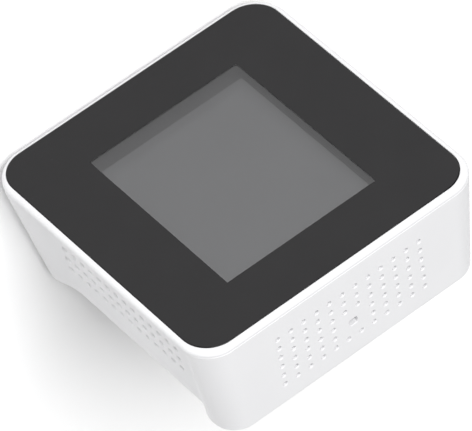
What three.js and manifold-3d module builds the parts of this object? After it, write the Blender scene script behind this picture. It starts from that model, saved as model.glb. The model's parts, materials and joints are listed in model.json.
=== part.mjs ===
// A desk air quality monitor: a square white case that leans back on its slanted base, with a black
// cover glass over a display in front and perforated air inlets in its top and sides.
//
// The case is drawn in its own leaning axes: x runs across, y is the depth behind the glass front,
// and z runs up along the glass. The group at the end leans these axes back and stands the base
// on the plane z = 0. Sizes are in millimetres.
import * as THREE from "three";
import { mergeVertices } from "three/addons/utils/BufferGeometryUtils.js";
import Module from "manifold-3d";

// ---- Driving dimensions -----------------------------------------------------------------------
const GAP = 0.3; // clearance between pieces that meet
const PAST = 1; // how far a cutter runs past the face it opens
const OVERLAP = 0.5; // how far joined shapes run into each other
const LEAN = THREE.MathUtils.degToRad(20); // the glass leans back by this, and the base slants by it

// Case outline
const HALF = 42.8; // half width over the front frame
const TOP = 43; // top face, above the middle of the glass
const BOTTOM = -42.2; // lower edge of the frame
const DEPTH = 31.1; // glass front to back face
const CORNER = 9.6; // lower corner radius of the frame
const TOP_CORNER = 8.5; // upper corner radius of the frame
const BACK_HALF = 38.9; // half width at the back face
const BACK_TOP_CORNER = 6.8;
const BACK_BOTTOM_CORNER = 6.2;
const BASE_START = 3.7; // depth where the slanted base begins
const BASE_ROUND = 3.5; // radius where the base meets the back
const BACK_EDGE = 1; // radius round the back face
const WALL = 2;
const BASE_WALL = 2.2;
const CAVITY_CORNER = { top: 5, bottom: 4 };

// Front frame and cover glass
const LIP = 1.4; // height of the frame's visible edge
const GLASS = 82.4; // side of the square cover glass
const GLASS_CORNER = 7.9;
const GLASS_THICK = 0.7;
const SKIRT_INSET = 1.6; // the frame's skirt plugs into the housing
const SKIRT_SIDE_INSET = 5.6; // inside the side recesses
const SKIRT_END = 4;
const SKIRT_THICK = 1.8;
const SEAT = GLASS_THICK + GAP; // depth of the face that the glass is glued to
const SEAT_SIDE_INSET = 2.4;
const SEAT_BACK = 2.2;
const SCREEN_OPENING = { half: 25.4, high: 30.6, corner: 1 };
const BOSS = { radius: 2.3, holeFront: 7 }; // the frame's bosses for the main board

// Side recess: a dished panel between the base post and the top post of each side
const RECESS = { low: -20.8, high: 29.9, backHalf: 36.95, taper: 0.09, wall: 1.8 };
const RAMP_FRONT = 1.16; // slope of the recess just behind the frame
const RAMP_LOW_FRONT = 0.22; // slope of the lower ramp at the frame
const RAMP_LOW_BACK = 0.33; // and at the back face
const RAMP_HIGH = 0.5;
const RECESS_REACH = 3; // the recess cutters reach this far out of the case and into its wall

// Perforations
const HOLE = 0.6; // radius
const TOP_HOLE_SIDES = 6;
const SIDE_HOLE_SIDES = 4;
const TOP_GRID = { columns: 12, rows: 6, pitchX: 3.94, pitchY: 3.25, firstY: 8.2 };
const SIDE_GRID = { columns: 14, rows: 4, pitchZ: 3.33, pitchY: 3.87, firstY: 9.56, midZ: 2.7 };
const SENSOR_PORT = { wide: 2.5, deep: 2, y: 19.5 }; // the larger hole in the top grid

// Back opening and cover
const COVER = { half: 32.3, low: -24.7, high: 37.2, corner: 4, thick: 2 };
const LEDGE = { half: 27, low: -19.3, high: 31.9, corner: 2, front: 26.6 };
const COVER_FRONT = DEPTH - COVER.thick;
const COVER_SCREWS = [[-29, -21.4], [29, -21.4], [-29, 33.9], [29, 33.9]];
const COVER_BOSS = 2.5; // radius of the cover's bosses for the charging board

// Foot
const FOOT = { half: 33, front: -10, back: 14.6, corner: 4, thick: 1.5, proud: 0.8 };

// Display stack
const SCREEN = { half: 27.2, high: 32, corner: 0.6 };
const GASKET = { front: 2.8, back: 4.9, lap: 0.4, corner: 1 }; // lap is its reach into the opening
const PANEL = { front: 5.2, back: 7 };
const BACKLIGHT = { front: 7.3, back: 9.9 };
const BRACKET = { front: 2.8, plate: 10.2, back: 11.2, wall: 1.3, corner: 1.5 };
const BRACKET_WINDOW = { half: 17, high: 20, corner: 3 };
const CABLE_SLOT = { half: 7, front: 5.4, back: 7.2 };
const CABLE_THICK = 0.3;
const DISPLAY_CABLE = {
  left: -6,
  right: 6,
  path: [[6.1, -32.4], [6.1, -34.2], [7.6, -35.4], [11, -35.4], [12.5, -34.2], [12.5, -30]], // y, z
};

// Boards
const BOARD = { half: 34.4, low: -34.4, high: 36.2, front: 13, back: 14.2, corner: 1.5 };
const BOARD_SCREWS = [[-32.2, -31.8], [32.2, -31.8], [-32.2, 33.6], [32.2, 33.6]];
const PARTS_ON_BOARD = BOARD.back + GAP; // components stand on the board's rear face
const IO_BOARD = { half: 15, low: 4, high: 30, front: 21.5, back: 22.7, corner: 1 };
const IO_SCREWS = [[-11, 17], [11, 17]];
const IO_CABLE = { left: -12, right: -7, path: [[14.6, 6], [17, 6.4], [19, 7.6], [21.1, 8]] }; // y, z
const SENSOR_BOARD = { left: -14, right: 14, front: 15, back: 26, low: 36.6, high: 37.6 };
const AIR_SENSOR = { x: 0, half: 1.5, high: 1 }; // under the larger hole in the top
const GAS_SENSOR = { x: 8, half: 2, high: 1.2 };

// Components on the main board, each a body with a raised part
const CO2_BODY = { left: -33, right: -14.5, low: 5, high: 31, front: PARTS_ON_BOARD, back: 20 };
const CO2_CAP = { left: -31, right: -16.5, low: 8, high: 24, front: 19.5, back: 20.9 };
const WIFI_BASE = { left: 16.5, right: 30, low: 8, high: 26, front: PARTS_ON_BOARD, back: 15.3 };
const WIFI_CAN = { left: 17.5, right: 29, low: 9, high: 20, front: 14.9, back: 17.5 };
const PROCESSOR = { left: -6, right: 4, low: 8, high: 18, front: PARTS_ON_BOARD, back: 15.7 };
const BUZZER = { x: 24, z: 31.4, radius: 4.4, back: 18.6, hole: 0.9, holeFront: 17 };

// Cell
const CELL = { left: 6.4, right: 33, low: -29.4, high: 2.6, front: 14.8, back: 22.6, corner: 2 };
const CELL_FLAT = { side: 0.2, high: 0.1 }; // trimmed off its rounded edges
const LEAD_RADIUS = 0.7;
const LEAD = [[12, 19, 0.3], [12, 18.6, 2.6], [11, 16.6, 3.2], [10, 14.7, 3]]; // x, y, height over the cell

// Screws
const SHANK = 1;
const HEAD = { radius: 1.9, high: 0.8 };
const SCREW_HOLE = SHANK + GAP;
const HEAD_HOLE = HEAD.radius + GAP;
const HEAD_SUNK = 0.3; // of the cover's screws, below its face
const SCREW_LENGTH = { cover: 2.6, board: 5, io: 4.2 };

// Power button and its switch
const BUTTON = { x: 0, z: 24, radius: 4, flange: 5, proud: 0.6, stem: 1.2 };
const FLANGE = { front: COVER_FRONT - 1.4, back: COVER_FRONT - 0.45 };
const SWITCH = { half: 3, front: IO_BOARD.back + GAP, floor: 0.6, back: 25.9 };
const PLUNGER = { radius: 1.6, front: SWITCH.front + 1.4, tip: 26.6 };

// Charging port
const PORT = { z: 10, half: 4.5, halfHigh: 1.7, wall: 0.35, front: IO_BOARD.back + GAP, back: 30.1 };
const PORT_FLOOR = 1;
const PORT_FLAT = 0.1; // half the straight part of each end
const TONGUE = { half: 3.3, halfThick: 0.35, shy: 0.7 };

// Particle sensor with its fan
const PM = { left: -33, right: 3, low: -29.4, high: 2.6, front: 14.6, back: 24.6, wall: 1.2 };
const PM_LID = { front: 24.9, back: 25.6 };
const PM_INNER = { front: PM.front + PM.wall, back: PM.back + PAST, right: PM.right - PM.wall };
const PM_INLET = { left: PM.left - PAST, right: PM.left + 4, low: -20, high: -14 };
const AIR_WAY = { left: -4.5, right: -1.5, high: -8 };
const OPTICS = { left: -7, low: -12, high: PM.high - PM.wall };
const CONNECTOR = { left: -12, right: -6, low: -4, high: -1 };
const PM_SHY = 2; // the ways for air stay this far from the floor and the lid
const OUTLET_TOP = 5; // below the fan's axis
const FAN = { x: -20.6, z: -17.4, chamber: 10.4, blades: 7, tip: 9.2, hub: 3.6, bore: 1.1 };
const FAN_SPAN = { front: 19, back: 23.6, boreBack: 22.6 };
const BLADE = { halfThick: 0.4, inset: 0.3 };
const FAN_SLOTS = { count: 6, ring: 5.6, radius: 1.7 };
const MOTOR = 3; // radius
const SPINDLE = { radius: 0.8, front: 18, back: 22 };
const LASER = { left: -6.6, right: -3, low: -11.6, high: -7.4, front: 17, back: 21 };
const LASER_NOSE = { left: -5.6, right: -4, low: -7.6, high: -5.4, front: 18, back: 20 };

// Dust meshes
const MESH_THICK = 0.5;
const TOP_MESH = { left: -25, right: 25, front: 6, back: 26 };
const SIDE_MESH = { low: -22, high: 28, front: 6, back: 25.5 };

// ---- Solids -----------------------------------------------------------------------------------
const wasm = await Module();
wasm.setup();

function solid(shape) {
  if (!shape.isBufferGeometry) return shape;
  const bare = shape.clone();
  bare.deleteAttribute("normal");
  bare.deleteAttribute("uv");
  const merged = mergeVertices(bare, 1e-4);
  return new wasm.Manifold(
    new wasm.Mesh({
      numProp: 3,
      vertProperties: merged.attributes.position.array,
      triVerts: new Uint32Array(merged.index.array),
    }),
  );
}

const join = (...shapes) => shapes.map(solid).reduce((sum, next) => sum.add(next));
const cut = (shape, ...cutters) => solid(shape).subtract(join(...cutters));
const common = (first, second) => solid(first).intersect(solid(second));

function geometryOf(shape) {
  if (shape.isBufferGeometry) return shape;
  const { vertProperties, triVerts } = shape.getMesh();
  const geometry = new THREE.BufferGeometry();
  geometry.setAttribute("position", new THREE.BufferAttribute(vertProperties, 3));
  geometry.setIndex(new THREE.BufferAttribute(triVerts, 1));
  return geometry;
}

// A block between two corners, or between its named sides.
function block(x0, x1, y0, y1, z0, z1) {
  const box = new THREE.BoxGeometry(x1 - x0, y1 - y0, z1 - z0);
  return box.translate((x0 + x1) / 2, (y0 + y1) / 2, (z0 + z1) / 2);
}

const slab = ({ left, right, low, high, front, back }) => block(left, right, front, back, low, high);

function roundedRect(x0, x1, z0, z1, radius, topRadius = radius) {
  const shape = new THREE.Shape();
  const quarter = Math.PI / 2;
  shape.absarc(x1 - radius, z0 + radius, radius, -quarter, 0);
  shape.absarc(x1 - topRadius, z1 - topRadius, topRadius, 0, quarter);
  shape.absarc(x0 + topRadius, z1 - topRadius, topRadius, quarter, 2 * quarter);
  shape.absarc(x0 + radius, z0 + radius, radius, 2 * quarter, 3 * quarter);
  return shape;
}

// An outline in x and z, from depth y0 to depth y1.
function plate(shape, y0, y1, curveSegments = 5) {
  const made = new THREE.ExtrudeGeometry(shape, { depth: y1 - y0, bevelEnabled: false, curveSegments });
  return made.rotateX(Math.PI / 2).translate(0, y1, 0);
}

function roundedPlate(x0, x1, z0, z1, radius, y0, y1, curveSegments = 5) {
  return plate(roundedRect(x0, x1, z0, z1, radius), y0, y1, curveSegments);
}

// A plate centred on the glass, by its half sizes.
const centred = (half, high, radius, y0, y1) => roundedPlate(-half, half, -high, high, radius, y0, y1);

// A rod along the depth, along x, or along z.
function rod(x, z, radius, y0, y1, sides = 12) {
  return new THREE.CylinderGeometry(radius, radius, y1 - y0, sides).translate(x, (y0 + y1) / 2, z);
}
function crossRod(y, z, radius, x0, x1, sides = 12) {
  const made = new THREE.CylinderGeometry(radius, radius, x1 - x0, sides);
  return made.rotateZ(Math.PI / 2).translate((x0 + x1) / 2, y, z);
}
function uprightRod(x, y, radius, z0, z1, sides = 12) {
  const made = new THREE.CylinderGeometry(radius, radius, z1 - z0, sides);
  return made.rotateX(Math.PI / 2).translate(x, y, (z0 + z1) / 2);
}

// A closed solid through rings of equal point count, each at one depth, front ring first, with its
// points anticlockwise seen from the front.
function loft(rings) {
  const count = rings[0].length;
  const triangles = [];
  rings.slice(1).forEach((_, k) => {
    for (let i = 0; i < count; i++) {
      const a = k * count + i;
      const b = k * count + ((i + 1) % count);
      triangles.push(a, a + count, b, b, a + count, b + count);
    }
  });
  const last = (rings.length - 1) * count;
  for (let i = 1; i < count - 1; i++) {
    triangles.push(0, i, i + 1);
    triangles.push(last, last + i + 1, last + i);
  }
  const geometry = new THREE.BufferGeometry().setFromPoints(rings.flat());
  return geometry.setIndex(triangles);
}

// A rounded outline at one depth: equal halves in x, with its own radii at the top and the bottom.
function ring(y, { half, top, bottom, topRadius, bottomRadius }, steps = 6) {
  const corners = [
    [half - topRadius, top - topRadius, topRadius],
    [topRadius - half, top - topRadius, topRadius],
    [bottomRadius - half, bottom + bottomRadius, bottomRadius],
    [half - bottomRadius, bottom + bottomRadius, bottomRadius],
  ];
  return corners.flatMap(([x, z, radius], quarter) =>
    Array.from({ length: steps + 1 }, (_, i) => {
      const angle = ((quarter + i / steps) * Math.PI) / 2;
      return new THREE.Vector3(x + radius * Math.cos(angle), y, z + radius * Math.sin(angle));
    }),
  );
}

// ---- The case's outer form --------------------------------------------------------------------
const mix = THREE.MathUtils.lerp;
const along = (y) => (y - LIP) / (DEPTH - LIP); // 0 at the frame, 1 at the back face
const halfAt = (y) => mix(HALF, BACK_HALF, along(y));
const baseAt = (y) => BOTTOM + Math.max(0, y - BASE_START) * Math.tan(LEAN);
const recessAt = (y) => RECESS.backHalf + RECESS.taper * (DEPTH - y);

// How far an outside edge of the given radius has turned in at this depth near the back.
function turnIn(y, radius) {
  const into = Math.max(0, y - (DEPTH - radius));
  return radius - Math.sqrt(radius * radius - into * into);
}

function caseRing(y, bottom) {
  const edge = turnIn(y, BACK_EDGE);
  return ring(y, {
    half: halfAt(y) - edge,
    top: TOP - edge,
    bottom,
    topRadius: mix(TOP_CORNER, BACK_TOP_CORNER, along(y)) - edge,
    bottomRadius: mix(CORNER, BACK_BOTTOM_CORNER, along(y)),
  });
}

function caseBody() {
  const rings = [LIP + GAP, BASE_START].map((y) => caseRing(y, BOTTOM));
  const centreY = DEPTH - BASE_ROUND;
  const centreZ = baseAt(centreY) + BASE_ROUND / Math.cos(LEAN);
  const steps = 4;
  for (let i = 0; i <= steps; i++) {
    const angle = mix(LEAN, Math.PI / 2, i / steps);
    const y = centreY + BASE_ROUND * Math.sin(angle);
    rings.push(caseRing(y, centreZ - BASE_ROUND * Math.cos(angle)));
  }
  return loft(rings);
}

// The dish cut out of one side; side is 1 on the right and -1 on the left.
function recessCutter(side) {
  return common(recessDish(side), recessFront(side));
}

// All that lies outside the slope behind the frame.
function recessFront(side) {
  const outside = HALF + RECESS_REACH;
  const inside = RECESS.backHalf - RECESS_REACH;
  const end = DEPTH + PAST;
  const shape = new THREE.Shape(
    [
      [HALF + RAMP_FRONT * GAP, LIP],
      [inside, LIP + GAP + (HALF - inside) / RAMP_FRONT],
      [inside, end],
      [outside, end],
      [outside, LIP],
    ].map(([x, y]) => new THREE.Vector2(side * x, y)),
  );
  const high = 2 * TOP;
  return new THREE.ExtrudeGeometry(shape, { depth: 2 * high, bevelEnabled: false }).translate(0, 0, -high);
}

function recessDish(side) {
  const outside = HALF + RECESS_REACH;
  const outline = (y, rampLow) => {
    const floor = recessAt(y) - turnIn(Math.min(y, DEPTH), BACK_EDGE);
    const run = outside - floor;
    const points = [
      [floor, RECESS.low],
      [outside, RECESS.low - run / rampLow],
      [outside, RECESS.high + run / RAMP_HIGH],
      [floor, RECESS.high],
    ].map(([x, z]) => new THREE.Vector3(side * x, y, z));
    return side > 0 ? points : points.reverse();
  };
  const depths = [LIP, DEPTH - BACK_EDGE, DEPTH - BACK_EDGE / 3, DEPTH, DEPTH + PAST];
  return loft(depths.map((y) => outline(y, mix(RAMP_LOW_FRONT, RAMP_LOW_BACK, along(y)))));
}

function cavity() {
  const inside = (y) =>
    ring(
      y,
      {
        half: recessAt(y) - RECESS.wall,
        top: TOP - WALL,
        bottom: baseAt(y) + BASE_WALL / Math.cos(LEAN),
        topRadius: CAVITY_CORNER.top,
        bottomRadius: CAVITY_CORNER.bottom,
      },
      3,
    );
  return loft([inside(SKIRT_END), inside(LEDGE.front)]);
}

// ---- Perforations -----------------------------------------------------------------------------
function topHoles() {
  const { columns, rows, pitchX, pitchY, firstY } = TOP_GRID;
  const span = [TOP - WALL - PAST, TOP + PAST];
  const holes = [];
  for (let i = 0; i < columns; i++) {
    for (let k = 0; k < rows; k++) {
      const x = (i - (columns - 1) / 2) * pitchX;
      const y = firstY + k * pitchY;
      const byPort = Math.abs(x) < pitchX && Math.abs(y - SENSOR_PORT.y) < pitchY;
      if (!byPort) holes.push(uprightRod(x, y, HOLE, ...span, TOP_HOLE_SIDES));
    }
  }
  const { wide, deep, y } = SENSOR_PORT;
  holes.push(block(-wide / 2, wide / 2, y - deep / 2, y + deep / 2, ...span));
  return join(...holes);
}

function sideHoles() {
  const { columns, rows, pitchZ, pitchY, firstY, midZ } = SIDE_GRID;
  const holes = [];
  for (const side of [-1, 1]) {
    for (let i = 0; i < columns; i++) {
      for (let k = 0; k < rows; k++) {
        const z = midZ + (i - (columns - 1) / 2) * pitchZ;
        const y = firstY + k * pitchY;
        const floor = recessAt(y);
        const span = [side * (floor - RECESS.wall - PAST), side * (floor + PAST)].sort((a, b) => a - b);
        holes.push(crossRod(y, z, HOLE, ...span, SIDE_HOLE_SIDES));
      }
    }
  }
  return join(...holes);
}

// ---- Case pieces ------------------------------------------------------------------------------
// The outline of the frame, moved in by the given distances.
function frameOutline(inset, y0, y1, sideInset = inset) {
  const half = HALF - sideInset;
  const radii = [CORNER - inset, TOP_CORNER - inset];
  return plate(roundedRect(-half, half, BOTTOM + inset, TOP - inset, ...radii), y0, y1, 6);
}

function frontFrame() {
  const bossSpan = [SEAT_BACK - OVERLAP, BOARD.front - GAP];
  const bosses = BOARD_SCREWS.map(([x, z]) => rod(x, z, BOSS.radius, ...bossSpan, 10));
  const tapped = BOARD_SCREWS.map(([x, z]) => rod(x, z, SCREW_HOLE, BOSS.holeFront, BOARD.front, 8));
  const halfGlass = GLASS / 2 + GAP;
  const { half, high, corner } = SCREEN_OPENING;
  const rim = cut(
    join(
      frameOutline(0, 0, LIP),
      frameOutline(SKIRT_INSET, LIP / 2, SEAT_BACK, SEAT_SIDE_INSET),
      frameOutline(SKIRT_INSET, LIP / 2, SKIRT_END, SKIRT_SIDE_INSET),
    ),
    centred(halfGlass, halfGlass, GLASS_CORNER + GAP, -PAST, SEAT),
    centred(half, high, corner, 0, SKIRT_END + PAST),
    frameOutline(SKIRT_INSET + SKIRT_THICK, SEAT_BACK, SKIRT_END + PAST, SKIRT_SIDE_INSET + SKIRT_THICK),
  );
  return cut(join(rim, ...bosses), ...tapped);
}

function coverGlass() {
  return centred(GLASS / 2, GLASS / 2, GLASS_CORNER, 0, GLASS_THICK);
}

// The well in the base that the foot is set in, in the leaning axes.
function footWell() {
  const { half, front, back, corner, thick, proud } = FOOT;
  const well = footPad(half + GAP, front - GAP, back + GAP, corner + GAP, -PAST, thick + GAP - proud);
  const baseLine = Math.cos(LEAN) * BOTTOM - Math.sin(LEAN) * BASE_START;
  return well.translate(0, 0, baseLine).rotateX(LEAN);
}

// A level pad with rounded corners, between two heights.
function footPad(half, front, back, corner, z0, z1) {
  const shape = roundedRect(-half, half, front, back, corner);
  const made = new THREE.ExtrudeGeometry(shape, { depth: z1 - z0, bevelEnabled: false, curveSegments: 5 });
  return made.translate(0, 0, z0);
}

function rearHousing() {
  const { half, low, high, corner } = COVER;
  const coverSeat = COVER_FRONT - GAP;
  return cut(
    caseBody(),
    frameOutline(SKIRT_INSET - GAP, 0, SEAT_BACK + GAP, SEAT_SIDE_INSET - GAP),
    frameOutline(SKIRT_INSET - GAP, 0, SKIRT_END + GAP, SKIRT_SIDE_INSET - GAP),
    cavity(),
    recessCutter(1),
    recessCutter(-1),
    roundedPlate(-half - GAP, half + GAP, low - GAP, high + GAP, corner + GAP, coverSeat, DEPTH + PAST),
    roundedPlate(-LEDGE.half, LEDGE.half, LEDGE.low, LEDGE.high, LEDGE.corner, LEDGE.front - PAST, DEPTH),
    topHoles(),
    sideHoles(),
    footWell(),
    ...COVER_SCREWS.map(([x, z]) => rod(x, z, SCREW_HOLE, LEDGE.front - PAST, DEPTH, 8)),
  );
}

function backCover() {
  const { half, low, high, corner } = COVER;
  const { x, z, radius } = BUTTON;
  const portHalf = PORT.half + GAP;
  const portHigh = PORT.halfHigh + GAP;
  const headSeat = DEPTH - HEAD_SUNK - HEAD.high - GAP;
  const through = [COVER_FRONT - PAST, DEPTH + PAST];
  const bossSpan = [IO_BOARD.back + GAP, COVER_FRONT + OVERLAP];
  const bosses = IO_SCREWS.map(([sx, sz]) => rod(sx, sz, COVER_BOSS, ...bossSpan, 10));
  const port = roundedPlate(
    -portHalf, portHalf, PORT.z - portHigh, PORT.z + portHigh, portHigh - PORT_FLAT, ...through,
  );
  return cut(
    join(roundedPlate(-half, half, low, high, corner, COVER_FRONT, DEPTH), ...bosses),
    port,
    rod(x, z, radius + GAP, ...through, 24),
    ...COVER_SCREWS.map(([sx, sz]) => rod(sx, sz, SCREW_HOLE, ...through, 8)),
    ...COVER_SCREWS.map(([sx, sz]) => rod(sx, sz, HEAD_HOLE, headSeat, DEPTH + PAST)),
    ...IO_SCREWS.map(([sx, sz]) => rod(sx, sz, SCREW_HOLE, IO_BOARD.back, COVER_FRONT - PAST, 8)),
  );
}

// ---- Display ----------------------------------------------------------------------------------
function lightGasket() {
  const { front, back, lap, corner } = GASKET;
  return cut(
    centred(SCREEN.half, SCREEN.high, corner, front, back),
    centred(SCREEN_OPENING.half - lap, SCREEN_OPENING.high - lap, corner, front - PAST, back + PAST),
  );
}

const displayLayer = ({ front, back }) => centred(SCREEN.half, SCREEN.high, SCREEN.corner, front, back);

function displayBracket() {
  const { front, plate, back, wall, corner } = BRACKET;
  const innerHalf = SCREEN.half + GAP;
  const innerHigh = SCREEN.high + GAP;
  const window = BRACKET_WINDOW;
  const slot = CABLE_SLOT;
  return cut(
    centred(innerHalf + wall, innerHigh + wall, corner, front, back),
    centred(innerHalf, innerHigh, SCREEN.corner, front - PAST, plate),
    centred(window.half, window.high, window.corner, plate - PAST, back + PAST),
    block(-slot.half, slot.half, slot.front, slot.back, -innerHigh - wall - PAST, PAST - innerHigh),
  );
}

// A flat cable whose middle follows a path in depth and height.
function ribbon({ left, right, path }) {
  const middle = new THREE.CatmullRomCurve3(path.map(([y, z]) => new THREE.Vector3(y, z, 0)));
  const steps = path.length * 3;
  const edge = (offset) =>
    Array.from({ length: steps + 1 }, (_, i) => {
      const at = middle.getPoint(i / steps);
      const ahead = middle.getTangent(i / steps);
      return new THREE.Vector2(at.x - offset * ahead.y, at.y + offset * ahead.x);
    });
  const shape = new THREE.Shape([...edge(CABLE_THICK / 2), ...edge(-CABLE_THICK / 2).reverse()]);
  const made = new THREE.ExtrudeGeometry(shape, { depth: right - left, bevelEnabled: false });
  const axes = new THREE.Matrix4().makeBasis(
    new THREE.Vector3(0, 1, 0), new THREE.Vector3(0, 0, 1), new THREE.Vector3(1, 0, 0),
  );
  return made.applyMatrix4(axes).translate(left, 0, 0);
}

// ---- Boards and what stands on them -----------------------------------------------------------
function circuitBoard({ half, low, high, front, back, corner }, screws) {
  const holes = screws.map(([x, z]) => rod(x, z, SCREW_HOLE, front - PAST, back + PAST, 8));
  return cut(roundedPlate(-half, half, low, high, corner, front, back), ...holes);
}

// A pan head screw along the depth; facing is 1 when its head is at the back end.
function screw([x, z], headY, length, facing = 1) {
  const profile = [
    [0, -length], [SHANK, -length], [SHANK, 0], [HEAD.radius, 0], [HEAD.radius, HEAD.high], [0, HEAD.high],
  ].map(([radius, y]) => new THREE.Vector2(radius, y));
  const made = new THREE.LatheGeometry(profile, 8);
  if (facing < 0) made.rotateX(Math.PI);
  return made.translate(x, headY, z);
}

function chargingPort() {
  const { z, half, halfHigh, wall, front, back } = PORT;
  const shell = roundedPlate(-half, half, z - halfHigh, z + halfHigh, halfHigh - PORT_FLAT, front, back);
  const inside = roundedPlate(
    wall - half, half - wall, z - halfHigh + wall, z + halfHigh - wall, halfHigh - wall - PORT_FLAT,
    front + PORT_FLOOR, back + PAST,
  );
  const tongueSpan = [front + PORT_FLOOR - OVERLAP, back - TONGUE.shy];
  const { half: tongueHalf, halfThick } = TONGUE;
  const tongue = block(-tongueHalf, tongueHalf, ...tongueSpan, z - halfThick, z + halfThick);
  return join(cut(shell, inside), tongue);
}

function powerButton() {
  const { x, z, radius, flange, proud, stem } = BUTTON;
  const cap = rod(x, z, radius, FLANGE.front, DEPTH + proud, 24);
  const rim = rod(x, z, flange, FLANGE.front, FLANGE.back, 24);
  return join(cap, rim, rod(x, z, stem, PLUNGER.tip + GAP, FLANGE.front + OVERLAP));
}

function switchBody() {
  const { half, front, floor, back } = SWITCH;
  const { x, z } = BUTTON;
  return cut(
    block(x - half, x + half, front, back, z - half, z + half),
    rod(x, z, PLUNGER.radius + GAP, front + floor, back + PAST, 16),
  );
}

const switchPlunger = () => rod(BUTTON.x, BUTTON.z, PLUNGER.radius, PLUNGER.front, PLUNGER.tip, 16);

function buzzer() {
  const { x, z, radius, back, hole, holeFront } = BUZZER;
  return cut(rod(x, z, radius, PARTS_ON_BOARD, back, 20), rod(x, z, hole, holeFront, back + PAST, 8));
}

// A small sensor on the sensor board, under the top grid, with its sensing opening upwards.
function topSensor({ x, half, high }) {
  const { y } = SENSOR_PORT;
  const z = SENSOR_BOARD.high + GAP;
  return cut(
    block(x - half, x + half, y - half, y + half, z, z + high),
    uprightRod(x, y, half / 3, z + high / 2, z + high + PAST, 10),
  );
}

// ---- Power ------------------------------------------------------------------------------------
function battery() {
  const { left, right, low, high, front, back, corner } = CELL;
  const { side } = CELL_FLAT;
  return common(
    roundedPlate(left, right, low, high, corner, front, back),
    block(left + side, right - side, front - PAST, back + PAST, low, high - CELL_FLAT.high),
  );
}

// The cell's lead, from its upper edge to the board.
function batteryLead() {
  const points = LEAD.map(([x, y, over]) => new THREE.Vector3(x, y, CELL.high + over));
  const path = new THREE.CatmullRomCurve3(points);
  const section = new THREE.Shape().absarc(0, 0, LEAD_RADIUS, 0, 2 * Math.PI);
  return new THREE.ExtrudeGeometry(section, { steps: 8, extrudePath: path, curveSegments: 4 });
}

// ---- Particle sensor --------------------------------------------------------------------------
function particleCase() {
  const airSpan = { front: PM_INNER.front + PM_SHY, back: PM.back - PM_SHY };
  const outlet = { left: FAN.x, low: PM.low + PM.wall, high: FAN.z - OUTLET_TOP };
  return cut(
    slab(PM),
    rod(FAN.x, FAN.z, FAN.chamber, PM_INNER.front, PM_INNER.back, 28),
    slab({ ...PM_INNER, ...outlet }),
    slab({ ...PM_INNER, ...OPTICS }),
    slab({ ...airSpan, ...AIR_WAY, low: FAN.z }),
    slab({ ...airSpan, ...PM_INLET }),
    slab({ ...PM_INNER, ...CONNECTOR }),
  );
}

function particleLid() {
  const { count, ring: ringRadius, radius } = FAN_SLOTS;
  const slots = Array.from({ length: count }, (_, i) => {
    const angle = (i * 2 * Math.PI) / count;
    const x = FAN.x + ringRadius * Math.cos(angle);
    const z = FAN.z + ringRadius * Math.sin(angle);
    return rod(x, z, radius, PM_LID.front - PAST, PM_LID.back + PAST, 10);
  });
  return cut(slab({ ...PM, ...PM_LID }), ...slots);
}

function fanMotor() {
  const { radius, front, back } = SPINDLE;
  const body = rod(FAN.x, FAN.z, MOTOR, PM_INNER.front + GAP, FAN_SPAN.front - GAP, 16);
  return join(body, rod(FAN.x, FAN.z, radius, front, back, 10));
}

function fanRotor() {
  const { x, z, blades, tip, hub, bore } = FAN;
  const { front, back, boreBack } = FAN_SPAN;
  const { halfThick, inset } = BLADE;
  const vanes = Array.from({ length: blades }, (_, i) => {
    const vane = block(hub - 2 * OVERLAP, tip, front + inset, back - inset, -halfThick, halfThick);
    return vane.rotateY((i * 2 * Math.PI) / blades).translate(x, 0, z);
  });
  return cut(join(rod(x, z, hub, front, back, 16), ...vanes), rod(x, z, bore, front - PAST, boreBack, 12));
}

// ---- Dust meshes ------------------------------------------------------------------------------
function topMesh() {
  const high = TOP - WALL - GAP;
  return slab({ ...TOP_MESH, low: high - MESH_THICK, high });
}

function sideMesh(side) {
  const { low, high, front, back } = SIDE_MESH;
  const outline = (y) => {
    const outer = recessAt(y) - RECESS.wall - GAP;
    const [near, far] = [side * outer, side * (outer - MESH_THICK)].sort((a, b) => a - b);
    const corners = [[near, low], [far, low], [far, high], [near, high]];
    return corners.map(([x, z]) => new THREE.Vector3(x, y, z));
  };
  return loft([outline(front), outline(back)]);
}

// ---- Materials --------------------------------------------------------------------------------
const finish = (color, roughness, metalness = 0) =>
  new THREE.MeshStandardMaterial({ color, roughness, metalness });
const whitePlastic = () => finish(0xf2f2f4, 0.42);
const darkGlass = () => finish(0x3d3d41, 0.08);
const blackFoam = () => finish(0x17171a, 0.95);
const greyRubber = () => finish(0x6e6f73, 0.85);
const boardGreen = () => finish(0x1f5a3a, 0.5);
const blackPlastic = () => finish(0x1c1c1f, 0.55);
const steel = () => finish(0xb9bcc0, 0.3, 0.9);
const meshCloth = () => finish(0x8d8f94, 0.9);
const goldPlate = () => finish(0xc9a24a, 0.38, 0.7);
const polyimide = () => finish(0xb5742a, 0.5);

// ---- Assembly ---------------------------------------------------------------------------------
const leaning = new THREE.Group();
const monitor = new THREE.Group();

function place(parent, name, shape, material) {
  const mesh = new THREE.Mesh(geometryOf(shape), material);
  mesh.name = name;
  parent.add(mesh);
}
const add = (name, shape, material) => place(leaning, name, shape, material);

add("front_frame", frontFrame(), whitePlastic());
add("cover_glass", coverGlass(), darkGlass());
add("rear_housing", rearHousing(), whitePlastic());
add("back_cover", backCover(), whitePlastic());
COVER_SCREWS.forEach((at, i) =>
  add(`cover_screw_${i + 1}`, screw(at, DEPTH - HEAD_SUNK - HEAD.high, SCREW_LENGTH.cover), steel()),
);

add("light_gasket", lightGasket(), blackFoam());
add("lcd_panel", displayLayer(PANEL), finish(0x76767a, 0.25));
add("backlight_unit", displayLayer(BACKLIGHT), finish(0xe6e6e0, 0.5));
add("display_bracket", displayBracket(), blackPlastic());
add("display_cable", ribbon(DISPLAY_CABLE), polyimide());

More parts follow.
